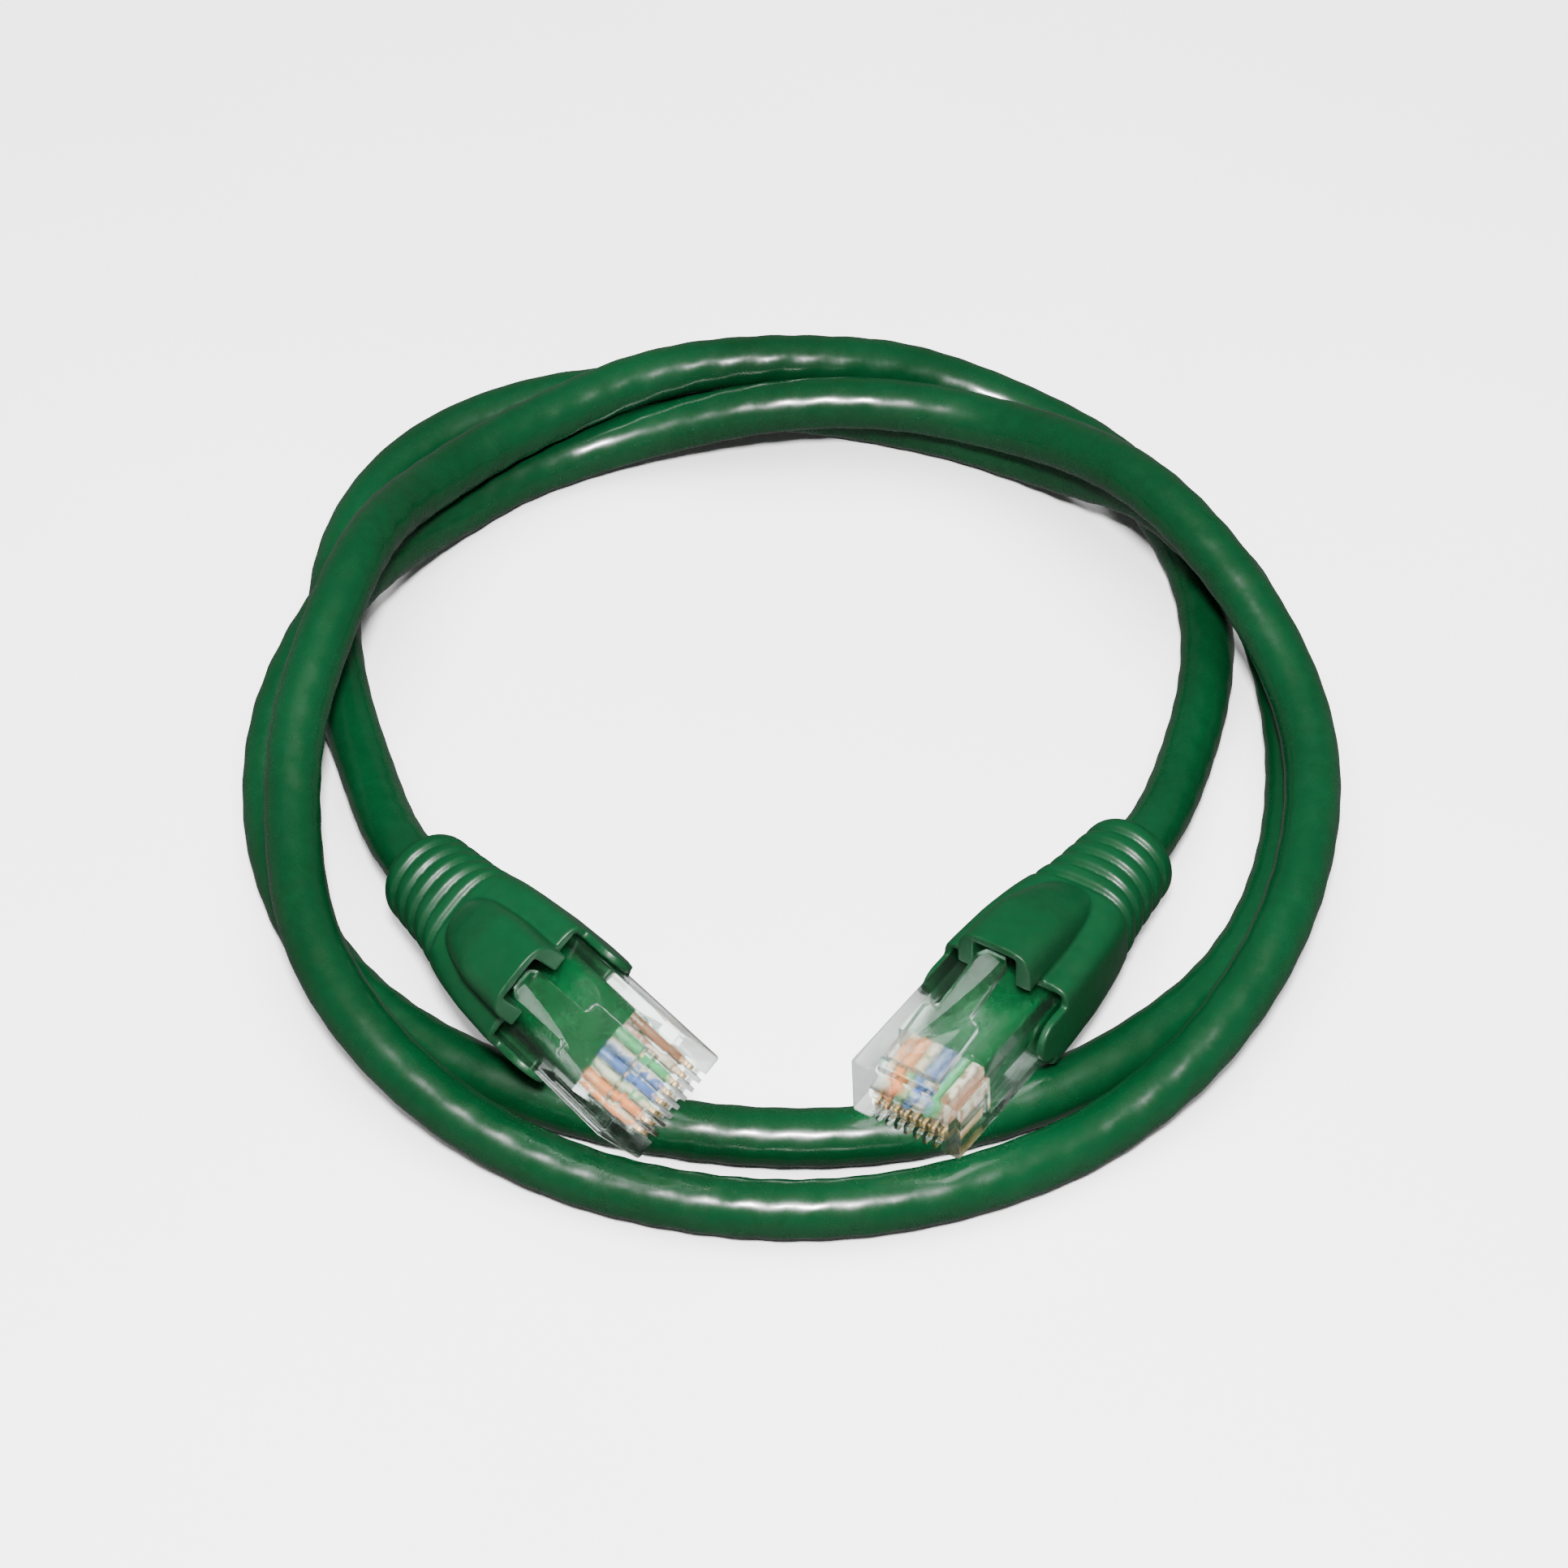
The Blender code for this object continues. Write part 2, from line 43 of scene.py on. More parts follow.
# ---------------------------------------------------------------- dimensions
# The cable's route and the plugs' places are the solid model's, in millimetres.
CABLE_R = 2.8
WIRE_R = 0.44
STRAND_GAP = 5.75
SETTLE_STEP = 1.5
SETTLE_ROUNDS = 120
WIRE_RING = 1.4
COIL_CENTRE = (0.0, 4.5)
COIL = [
    (185, 41.8, 3.4), (174, 44.6, 2.8), (163, 48.6, 2.8), (149, 54.0, 2.8),
    (135, 56.9, 2.8), (121, 56.0, 2.8), (107, 52.7, 2.8), (92, 48.4, 2.8),
    (76, 47.9, 2.8), (60, 48.1, 2.9), (49, 47.7, 5.2), (39, 48.1, 8.2),
    (28, 49.0, 8.8), (18, 50.6, 7.4), (8, 51.4, 4.0), (-4, 51.2, 2.8),
    (-32, 50.7, 2.8), (-54, 48.4, 2.8), (-76, 46.6, 2.8), (-100, 46.0, 2.8),
    (-124, 47.9, 2.8), (-145, 50.8, 2.8), (-160, 51.6, 2.8), (-172, 51.7, 3.0),
    (-182, 50.9, 5.6), (-191, 49.1, 8.0), (-198, 47.9, 8.8), (-205, 47.3, 7.9),
    (-214, 47.5, 5.2), (-225, 47.6, 2.8), (-239, 46.8, 2.8), (-253, 45.2, 5.2),
    (-268, 43.8, 7.4), (-284, 44.8, 7.9), (-300, 45.9, 8.6), (-314, 45.5, 11.8),
    (-326, 45.5, 14.0), (-338, 46.8, 13.6), (-349, 49.3, 11.2), (-360, 51.6, 8.9),
    (-378, 53.2, 8.4), (-396, 54.3, 7.1), (-416, 54.2, 3.2), (-446, 53.8, 2.8),
    (-470, 53.6, 2.9), (-489, 54.0, 5.8), (-506, 52.9, 8.6), (-522, 50.0, 8.9),
    (-536, 47.9, 11.4), (-547, 46.2, 13.4), (-557, 45.6, 14.6), (-567, 46.3, 13.3),
    (-578, 47.4, 10.2), (-592, 48.0, 8.6), (-612, 48.4, 8.5), (-622, 48.6, 8.8),
    (-636, 49.9, 8.1), (-652, 52.6, 4.4), (-667, 53.8, 2.8), (-681, 51.7, 2.8),
    (-695, 48.2, 2.8), (-709, 43.9, 2.8), (-722, 40.5, 3.4),
]
LAY_SHIFT = np.array([-0.286, -2.971, -0.036])
PLUGS = {
    "a": {"nose": (-11.0, -46.4, 17.3), "turn": (-53.0, 13.1, 30.0)},
    "b": {"nose": (10.9, -44.3, 11.8), "turn": (-125.2, 7.4, 8.0)},
}
BOOT_REAR = -40.5
TONGUE_TIP = -12.7
CONTACT_PITCH = 1.02
WIRE_Z = -0.6
WIRE_END = -1.4
JACKET_END = -6.5
CAVITY_FRONT = -6.1
LATCH_HINGE = (-2.0, 0.0, 4.15)
LATCH_SLOPE = 11.0

# ------------------------------------------------------------------- camera
LENS = 80.0
SENSOR_WIDTH = 36.0
TARGET = MM * (np.array([0.0, 0.0, 3.0]) + LAY_SHIFT)
CAMERA_DISTANCE = 0.349
CAMERA_ELEVATION = 52.0


def add(name, data, paint=None):
    obj = bpy.data.objects.new(name, data)
    bpy.context.scene.collection.objects.link(obj)
    if paint is not None:
        data.materials.clear()
        data.materials.append(paint)
    return obj


def point_at(obj, place, target):
    obj.location = Vector(place)
    away = Vector(target) - obj.location
    obj.rotation_euler = away.to_track_quat("-Z", "Y").to_euler()


elevation = np.radians(CAMERA_ELEVATION)
towards_camera = np.array([0.0, -np.cos(elevation), np.sin(elevation)])
camera = add("camera", bpy.data.cameras.new("camera"))
camera.data.lens = LENS
camera.data.sensor_width = SENSOR_WIDTH
camera.data.clip_start = 0.01
camera.data.dof.use_dof = False
point_at(camera, TARGET + CAMERA_DISTANCE * towards_camera, TARGET)
bpy.context.scene.camera = camera


# ---------------------------------------------------------------- materials
FINE_SHARE = 0.45        # the fine mottle's weight beside the slow shade changes
PVC_IOR = 1.48
POLYCARBONATE_IOR = 1.58
CLEAR_BODY_IOR = 1.25    # lower than the skin's, so that the inside stays readable
CLEAR_ALPHA = 0.82


def nodes_of(name):
    made = bpy.data.materials.new(name)
    made.use_nodes = True
    tree = made.node_tree
    return made, tree, tree.nodes["Principled BSDF"]


def set_sockets(node, values):
    for name, value in values.items():
        node.inputs[name].default_value = value


def noise_field(tree, scale, detail=3.0, roughness=0.5, stretch=(1, 1, 1)):
    """A noise value in the object's own space; scale is per metre."""
    place = tree.nodes.new("ShaderNodeTexCoord")
    mapping = tree.nodes.new("ShaderNodeMapping")
    set_sockets(mapping, {"Scale": stretch})
    field = tree.nodes.new("ShaderNodeTexNoise")
    set_sockets(field, {"Scale": scale, "Detail": detail, "Roughness": roughness})
    tree.links.new(place.outputs["Object"], mapping.inputs["Vector"])
    tree.links.new(mapping.outputs["Vector"], field.inputs["Vector"])
    return field.outputs["Fac"]


def ramp(tree, field, stops):
    """Colours over a field: stops are (position, colour)."""
    made = tree.nodes.new("ShaderNodeValToRGB")
    while len(made.color_ramp.elements) < len(stops):
        made.color_ramp.elements.new(0.5)
    for element, (position, colour) in zip(made.color_ramp.elements, stops):
        element.position = position
        element.color = (*colour, 1.0)
    tree.links.new(field, made.inputs["Fac"])
    return made.outputs["Color"]


def spread(tree, field, low, high, start=0.3, stop=0.7):
    """The field's middle range mapped to low..high."""
    made = tree.nodes.new("ShaderNodeMapRange")
    set_sockets(
        made, {"From Min": start, "From Max": stop, "To Min": low, "To Max": high}
    )
    tree.links.new(field, made.inputs["Value"])
    return made.outputs["Result"]


def bump(tree, field, strength, distance, below=None):
    made = tree.nodes.new("ShaderNodeBump")
    set_sockets(made, {"Strength": strength, "Distance": distance})
    tree.links.new(field, made.inputs["Height"])
    if below is not None:
        tree.links.new(below, made.inputs["Normal"])
    return made.outputs["Normal"]


def plastic(name, dark, light, rough, grain, coat=0.0, scuff=0.5):
    """Coloured plastic: slow shade changes, fine mottle, handling marks."""
    made, tree, shader = nodes_of(name)
    slow = noise_field(tree, 55, 4.0)
    fine = noise_field(tree, 900, 3.0)
    mix = tree.nodes.new("ShaderNodeMath")
    mix.operation = "MULTIPLY_ADD"
    mix.inputs[1].default_value = FINE_SHARE
    tree.links.new(fine, mix.inputs[0])
    tree.links.new(spread(tree, slow, 0.0, 0.55), mix.inputs[2])
    tree.links.new(
        ramp(tree, mix.outputs[0], [(0.15, dark), (0.85, light)]),
        shader.inputs["Base Color"],
    )
    marks = noise_field(tree, 260, 6.0, 0.7)
    tree.links.new(
        spread(tree, marks, rough[0], rough[1], scuff - 0.15, scuff + 0.15),
        shader.inputs["Roughness"],
    )
    small = bump(tree, noise_field(tree, 4200, 2.0), 0.35, grain)
    tree.links.new(
        bump(tree, noise_field(tree, 420, 3.0), 0.4, 2.5 * grain, small),
        shader.inputs["Normal"],
    )
    set_sockets(shader, {
        "IOR": PVC_IOR, "Specular IOR Level": 0.4,
        "Coat Weight": coat, "Coat Roughness": 0.12,
    })
    return made


def clear_plastic(name, tint, rough):
    """Clear moulded plastic: a glassy body under a smooth skin."""
    made, tree, shader = nodes_of(name)
    flow = noise_field(tree, 350, 2.0)
    tree.links.new(
        ramp(tree, flow, [(0.3, tuple(0.93 * c for c in tint)), (0.7, tint)]),
        shader.inputs["Base Color"],
    )
    marks = noise_field(tree, 1500, 5.0, 0.7)
    tree.links.new(
        spread(tree, marks, rough[0], rough[1]), shader.inputs["Roughness"]
    )
    tree.links.new(
        bump(tree, noise_field(tree, 500, 2.0), 0.25, 0.00003),
        shader.inputs["Normal"],
    )
    set_sockets(shader, {
        "Transmission Weight": 1.0, "Alpha": CLEAR_ALPHA, "IOR": CLEAR_BODY_IOR,
        "Coat Weight": 0.8, "Coat Roughness": 0.06, "Coat IOR": POLYCARBONATE_IOR,
    })
    return made


def metal(name, dark, light, rough):
    """Plated metal with a slightly uneven shine and fine lines in it."""
    made, tree, shader = nodes_of(name)
    field = noise_field(tree, 1400, 4.0)
    tree.links.new(
        ramp(tree, field, [(0.3, dark), (0.7, light)]), shader.inputs["Base Color"]
    )
    tree.links.new(
        spread(tree, field, rough[0], rough[1]), shader.inputs["Roughness"]
    )
    tree.links.new(
        bump(tree, noise_field(tree, 3000, 2.0, 0.5, (1, 1, 8)), 0.3, 0.000008),
        shader.inputs["Normal"],
    )
    shader.inputs["Metallic"].default_value = 1.0
    return made


def insulation(name, body, stripe):
    """A conductor's insulation: a body colour broken by its tracer colour."""
    made, tree, shader = nodes_of(name)
    field = noise_field(tree, 700, 2.0)
    tree.links.new(
        ramp(tree, field, [(0.47, body), (0.53, stripe)]),
        shader.inputs["Base Color"],
    )
    tree.links.new(
        spread(tree, noise_field(tree, 2500), 0.3, 0.5), shader.inputs["Roughness"]
    )
    tree.links.new(
        bump(tree, noise_field(tree, 5000), 0.3, 0.00001), shader.inputs["Normal"]
    )
    return made


JACKET = plastic(
    "jacket_pvc", (0.0005, 0.016, 0.0043), (0.0009, 0.027, 0.0082), (0.2, 0.32),
    0.000004, coat=0.2,
)
BOOT = plastic(
    "boot_pvc", (0.0006, 0.019, 0.0054), (0.0011, 0.0305, 0.0093), (0.34, 0.46), 0.00001,
)
CLEAR = clear_plastic("clear_polycarbonate", (0.88, 0.97, 0.92), (0.02, 0.1))
GOLD = metal("gold_plate", (0.6, 0.31, 0.11), (0.85, 0.49, 0.2), (0.3, 0.48))
WHITE = (0.27, 0.23, 0.18)
ORANGE = (0.32, 0.085, 0.02)
LEAF = (0.015, 0.12, 0.04)
BLUE = (0.025, 0.05, 0.15)
BROWN = (0.085, 0.035, 0.018)
WIRE_PAINT = [
    insulation("wire_pe_1", WHITE, ORANGE), insulation("wire_pe_2", ORANGE, ORANGE),
    insulation("wire_pe_3", WHITE, LEAF), insulation("wire_pe_4", BLUE, BLUE),
    insulation("wire_pe_5", WHITE, BLUE), insulation("wire_pe_6", LEAF, LEAF),
    insulation("wire_pe_7", WHITE, BROWN), insulation("wire_pe_8", BROWN, BROWN),
]


# -------------------------------------------------------------------- route
def turned(plug):
    yaw, pitch, roll = np.radians(plug["turn"])
    return np.array(Euler((roll, -pitch, yaw), "XYZ").to_matrix())


def in_plug(plug, place):
    """A point of a plug's own frame, in the row frame, in millimetres."""
    return np.array(plug["nose"]) + turned(plug) @ np.array(place) + LAY_SHIFT


def spline(points, first, last, step):
    count = len(points)
    gaps = np.linalg.norm(np.diff(points, axis=0), axis=1)
    slopes = np.diff(points, axis=0) / gaps[:, None]
    matrix = np.zeros((count, count))
    right = np.zeros((count, 3))
    for i in range(1, count - 1):
        matrix[i, i - 1:i + 2] = gaps[i - 1], 2 * (gaps[i - 1] + gaps[i]), gaps[i]
        right[i] = 6 * (slopes[i] - slopes[i - 1])
    matrix[0, :2] = 2 * gaps[0], gaps[0]
    right[0] = 6 * (slopes[0] - first)
    matrix[-1, -2:] = gaps[-1], 2 * gaps[-1]
    right[-1] = 6 * (last - slopes[-1])
    bend = np.linalg.solve(matrix, right)
    made = []
    for i, gap in enumerate(gaps):
        for along in np.linspace(0, gap, max(2, int(gap / step)), endpoint=False):
            left = gap - along
            made.append(
                (bend[i] * left**3 + bend[i + 1] * along**3) / (6 * gap)
                + (points[i] / gap - bend[i] * gap / 6) * left
                + (points[i + 1] / gap - bend[i + 1] * gap / 6) * along
            )
    made.append(points[-1])
    return np.array(made)


def evenly(line, step):
    run = np.r_[0, np.cumsum(np.linalg.norm(np.diff(line, axis=0), axis=1))]
    places = np.linspace(0, run[-1], int(round(run[-1] / step)) + 1)
    return np.stack([np.interp(places, run, line[:, k]) for k in range(3)], 1)


def settle(line):
    """Pushes strands apart where they would share a place, and off the floor."""
    line = evenly(line, SETTLE_STEP)
    count = len(line)
    place = np.arange(count)
    same_strand = np.abs(place[:, None] - place[None]) < 12
    blur = np.hanning(9)[1:-1]
    blur /= blur.sum()
    for _ in range(SETTLE_ROUNDS):
        gap = np.linalg.norm(line[:, None] - line[None], axis=2)
        gap[same_strand] = STRAND_GAP
        one, other = np.nonzero(gap < STRAND_GAP)
        near = gap[one, other]
        push = (line[one] - line[other]) * ((STRAND_GAP - near) / near)[:, None]
        times = np.maximum(np.bincount(one, minlength=count), 1)
        for k in range(3):
            share = np.bincount(one, weights=push[:, k], minlength=count) / times
            share = np.convolve(np.pad(share, 3, "edge"), blur, "valid")
            line[3:-3, k] += 0.75 * share[3:-3]
        line[:, 2] = np.maximum(line[:, 2], CABLE_R)
    return line


def coil_route():
    """The cable's middle line between the rear ends of the two boots."""
    rears = {
        side: np.array(plug["nose"]) + BOOT_REAR * turned(plug)[:, 0]
        for side, plug in PLUGS.items()
    }
    points = [rears["a"]]
    for angle, radius, height in COIL:
        turn = np.radians(angle)
        points.append(np.array([
            COIL_CENTRE[0] + radius * np.cos(turn),
            COIL_CENTRE[1] + radius * np.sin(turn),
            height,
        ]))
    points.append(rears["b"])
    heading_a = turned(PLUGS["a"])[:, 0]
    heading_b = turned(PLUGS["b"])[:, 0]
    return settle(spline(np.array(points), -heading_a, heading_b, 0.5)) + LAY_SHIFT


COIL_LINE = coil_route()


def whole_route(end_x, step):
    """The cable's middle line, from inside one plug to inside the other."""
    front_a = in_plug(PLUGS["a"], (end_x, 0, 0))
    front_b = in_plug(PLUGS["b"], (end_x, 0, 0))
    line = smooth_line(np.vstack([front_a, COIL_LINE, front_b]))
    line[:, 2] = np.maximum(line[:, 2], LAY_SHIFT[2] + CABLE_R)
    return evenly(line, step)


def smooth_line(line):
    """The line at fine even steps with its small corners eased."""
    fine = evenly(line, 0.5)
    blur = np.hanning(9)[1:-1]
    blur /= blur.sum()
    for k in range(3):
        fine[3:-3, k] = np.convolve(fine[:, k], blur, "valid")
    return fine


def frames(line, first_up, last_up):
    heading = np.gradient(line, axis=0)
    heading /= np.linalg.norm(heading, axis=1)[:, None]
    ups = []
    up = first_up
    for direction in heading:
        up = up - direction * (up @ direction)
        up = up / np.linalg.norm(up)
        ups.append(up)
    ups = np.array(ups)
    sides = np.cross(ups, heading)
    final = last_up - heading[-1] * (last_up @ heading[-1])
    miss = np.arctan2(final @ sides[-1], final @ ups[-1])
    turn = miss * np.linspace(0, 1, len(line))[:, None]
    up_turned = np.cos(turn) * ups + np.sin(turn) * sides
    return up_turned, np.cross(up_turned, heading)


UP_A = turned(PLUGS["a"])[:, 2]
UP_B = turned(PLUGS["b"])[:, 2]


# ------------------------------------------------------------- cable jacket
JACKET_STEP = 0.8
JACKET_SIDES = 32
LOBES = 4                # the four pairs show faintly through the jacket
LOBE_LENGTH = 16.5       # one turn of the bundle
LOBE_HEIGHT = 0.05
FLAT_HALF = (4.4, 2.5)   # the jacket pressed flat inside a housing
FLAT_END = 19.0          # behind the nose: the flat part ends here
FLAT_FADE = 5.0          # and is round again this much further back
END_WALL = 0.82          # the hole's share of a cut end
END_DEPTH = 1.6


def wander(places, seed, length):
    """A smooth value from -1 to 1 along the cable."""
    rng = np.random.default_rng(seed)
    knots = rng.uniform(-1, 1, int(places[-1] / length) + 3)
    return np.interp(places / length, np.arange(len(knots)), knots)


def skin(name, rings, end_rings):
    """A mesh from rings of points, closed at both ends with flat caps."""
    rings = list(end_rings[0]) + list(rings) + list(end_rings[1])
    sides = len(rings[0])
    points = np.concatenate(rings)
    faces = []
    for k in range(len(rings) - 1):
        for i in range(sides):
            j = (i + 1) % sides
            faces.append((
                k * sides + i, k * sides + j, (k + 1) * sides + j, (k + 1) * sides + i,
            ))
    faces.append(tuple(range(sides))[::-1])
    last = (len(rings) - 1) * sides
    faces.append(tuple(range(last, last + sides)))
    mesh = bpy.data.meshes.new(name)
    mesh.from_pydata(points.tolist(), [], faces)
    mesh.shade_smooth()
    work = bmesh.new()
    work.from_mesh(mesh)
    bmesh.ops.recalc_face_normals(work, faces=work.faces)
    work.to_mesh(mesh)
    work.free()
    mesh.set_sharp_from_angle(angle=np.radians(50))
    return mesh


def ease(value):
    value = np.clip(value, 0, 1)
    return value * value * (3 - 2 * value)


jacket_line = whole_route(JACKET_END, JACKET_STEP)
up, side_way = frames(jacket_line, UP_A, UP_B)
run = np.r_[0, np.cumsum(np.linalg.norm(np.diff(jacket_line, axis=0), axis=1))]
from_end = np.minimum(run, run[-1] - run)
# Flat from the cut end to just short of the housing's mouth, then round.
flatness = 1 - ease((from_end - (FLAT_END + JACKET_END)) / FLAT_FADE)
half_across = CABLE_R + (FLAT_HALF[0] - CABLE_R) * flatness
half_up = CABLE_R + (FLAT_HALF[1] - CABLE_R) * flatness
angles = np.linspace(0, 2 * np.pi, JACKET_SIDES, endpoint=False)
lobe_turn = 2 * np.pi * (run / LOBE_LENGTH) + 0.5 * wander(run, 3, 30)
lobe_size = LOBE_HEIGHT * (0.75 + 0.5 * wander(run, 5, 14)) * (1 - flatness)
jacket_rings = []
for k, centre in enumerate(jacket_line):
    swell = lobe_size[k] * (np.cos(LOBES * (angles + lobe_turn[k])) - 1)
    across = (half_across[k] + swell) * np.cos(angles)
    above = (half_up[k] + swell) * np.sin(angles)
    ring = centre + across[:, None] * side_way[k] + above[:, None] * up[k]
    jacket_rings.append(MM * ring)


def cut_end(ring, inner):
    """Rings that turn a tube's end in on itself, so that it looks hollow there."""
    middle = ring.mean(0)
    shrunk = middle + END_WALL * (ring - middle)
    return [shrunk + inner, shrunk]


def inwards(end, further_in):
    away = further_in - end
    return MM * END_DEPTH * away / np.linalg.norm(away)


end_a = cut_end(jacket_rings[0], inwards(jacket_line[0], jacket_line[3]))
end_b = cut_end(jacket_rings[-1], inwards(jacket_line[-1], jacket_line[-4]))
jacket = add(
    "jacket_skin", skin("jacket_skin", jacket_rings, (end_a, end_b[::-1])), JACKET
)
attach(jacket, "cable")
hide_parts("cable_jacket")


# -------------------------------------------------------------------- wires
WIRE_FAN_START = -12.5
WIRE_ROUTE_STEP = 2.0


def fan_out(plug, number, flip):
    """A wire's way from the bundle to the place under its contact."""
    y = (number - 4.5) * CONTACT_PITCH
    level = flip * (0.5 if number % 2 else -0.5) * (
        1.7 if number in (3, 4, 5, 6) else 1.0
    )
    places = [
        (-9.6, y * 0.7, level), (-8.8, y * 0.85, level * 0.75),
        (-7.6, y * 0.95, WIRE_Z + 0.25 * (level - WIRE_Z)), (-6.6, y, WIRE_Z),
        (WIRE_END, y, WIRE_Z),
    ]
    return [in_plug(plug, place) for place in places]


wire_line = whole_route(WIRE_FAN_START, WIRE_ROUTE_STEP)
wire_up, wire_side = frames(wire_line, UP_A, -UP_B)
hand = np.sign(wire_side[0] @ turned(PLUGS["a"])[:, 1])
for number in range(1, 9):
    angle = np.radians(157.5 - 45 * ((number - 1) // 2))
    across = hand * np.cos(angle)
    above = np.sin(angle) if number % 2 else -np.sin(angle)
    ring = wire_line + WIRE_RING * (across * wire_side + above * wire_up)
    line = np.vstack([
        fan_out(PLUGS["a"], number, 1)[::-1], ring, fan_out(PLUGS["b"], number, -1),
    ])
    curve = bpy.data.curves.new(f"wire_skin_{number}", "CURVE")
    curve.dimensions = "3D"
    curve.bevel_depth = MM * WIRE_R
    curve.bevel_resolution = 3
    curve.use_fill_caps = True
    path = curve.splines.new("POLY")
    path.points.add(len(line) - 1)
    for point, place in zip(path.points, line):
        point.co = (*(MM * place), 1.0)
    wire = add(f"wire_skin_{number}", curve, WIRE_PAINT[number - 1])
    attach(wire, "cable")
    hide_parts(f"wire_{number}")


# ------------------------------------------------------------ mesh builders
def box(x, y, z):
    """A box between (low, high) on each axis, in millimetres."""
    work = bmesh.new()
    bmesh.ops.create_cube(work, size=1.0)
    for vert in work.verts:
        for axis, (low, high) in enumerate((x, y, z)):
            vert.co[axis] = MM * ((low + high) / 2 + vert.co[axis] * (high - low))
    mesh = bpy.data.meshes.new("box")
    work.to_mesh(mesh)
    work.free()
    return mesh


def settled(obj):
    """The object's mesh with its modifiers taken in; the object is removed."""
    bpy.context.view_layer.update()
    graph = bpy.context.evaluated_depsgraph_get()
    mesh = bpy.data.meshes.new_from_object(obj.evaluated_get(graph))
    bpy.data.objects.remove(obj, do_unlink=True)
    return mesh


def weld(mesh):
    work = bmesh.new()
    work.from_mesh(mesh)
    bmesh.ops.remove_doubles(work, verts=work.verts, dist=1e-6)
    bmesh.ops.recalc_face_normals(work, faces=work.faces)
    work.to_mesh(mesh)
    work.free()
    return mesh


STAND_IN_XZ = Matrix.Rotation(np.pi / 2, 4, "X")


def plate(outline, thick, turn):
    """A flat plate of this outline, turned from the XY plane to its place."""
    curve = bpy.data.curves.new("plate", "CURVE")
    curve.dimensions = "2D"
    curve.fill_mode = "BOTH"
    curve.extrude = MM * thick / 2
    line = curve.splines.new("POLY")
    line.points.add(len(outline) - 1)
    for point, (u, v) in zip(line.points, outline):
        point.co = (MM * u, MM * v, 0.0, 1.0)
    line.use_cyclic_u = True
    mesh = settled(add("plate", curve))
    mesh.transform(turn)
    return weld(mesh)


def carve(mesh, steps):
    """Booleans one after another: steps are (operation, mesh)."""
    obj = add("carved", mesh)
    tools = []
    for operation, tool_mesh in steps:
        tool = add("tool", tool_mesh)
        tool.hide_render = True
        tools.append(tool)
        step = obj.modifiers.new("step", "BOOLEAN")
        step.operation = operation
        step.solver = "EXACT"
        step.object = tool
    made = settled(obj)
    for tool in tools:
        bpy.data.objects.remove(tool, do_unlink=True)
    return made


def softened(mesh, width, segments, angle=30):
    """The mesh with its sharp edges rounded off."""
    obj = add("softened", mesh)
    step = obj.modifiers.new("edge", "BEVEL")
    step.width = MM * width
    step.segments = segments
    step.limit_method = "ANGLE"
    step.angle_limit = np.radians(angle)
    step.use_clamp_overlap = True
    made = settled(obj)
    made.shade_smooth()
    made.set_sharp_from_angle(angle=np.radians(40))
    return made


def ring_of(half_y, low_z, high_z, corner, sides):
    turn = np.linspace(0, 2 * np.pi, sides, endpoint=False) + np.pi / sides
    cos, sin = np.cos(turn), np.sin(turn)
    y = half_y * np.sign(cos) * np.abs(cos) ** (2 / corner)
    z = (high_z - low_z) / 2 * np.sign(sin) * np.abs(sin) ** (2 / corner)
    return np.stack([y, z + (high_z + low_z) / 2], 1)


def loft(sections, sides):
    """A solid through rounded sections (x, half_y, low_z, high_z, corner)."""
    work = bmesh.new()
    rings = []
    for x, half_y, low_z, high_z, corner in sections:
        rings.append([
            work.verts.new((MM * x, MM * y, MM * z))
            for y, z in ring_of(half_y, low_z, high_z, corner, sides)
        ])
    for back, front in zip(rings, rings[1:]):
        for i in range(sides):
            j = (i + 1) % sides
            work.faces.new((back[i], back[j], front[j], front[i]))
    work.faces.new(rings[0])
    work.faces.new(rings[-1])
    bmesh.ops.recalc_face_normals(work, faces=work.faces)
    mesh = bpy.data.meshes.new("loft")
    work.to_mesh(mesh)
    work.free()
    return mesh


def smooth_table(rows, step, blur):
    """Sections at even steps between control rows, with the kinks eased."""
    rows = np.array(rows)
    count = int(round((rows[-1, 0] - rows[0, 0]) / step))
    x = np.linspace(rows[0, 0], rows[-1, 0], count + 1)
    window = int(blur / step)
    made = [x]
    for column in rows.T[1:]:
        value = np.interp(x, rows[:, 0], column)
        padded = np.r_[
            2 * value[0] - value[window:0:-1], value,
            2 * value[-1] - value[-2:-window - 2:-1],
        ]
        kernel = np.hanning(2 * window + 3)[1:-1]
        made.append(np.convolve(padded, kernel / kernel.sum(), "valid"))
    return np.stack(made, 1)


# -------------------------------------------------------------------- boots
FIRST_RIB = -38.15
RIB_PITCH = 2.0
RIB_COUNT = 5
RIB_HALF = 0.5
RIB_DEPTH = 0.5
VOXEL = 0.16


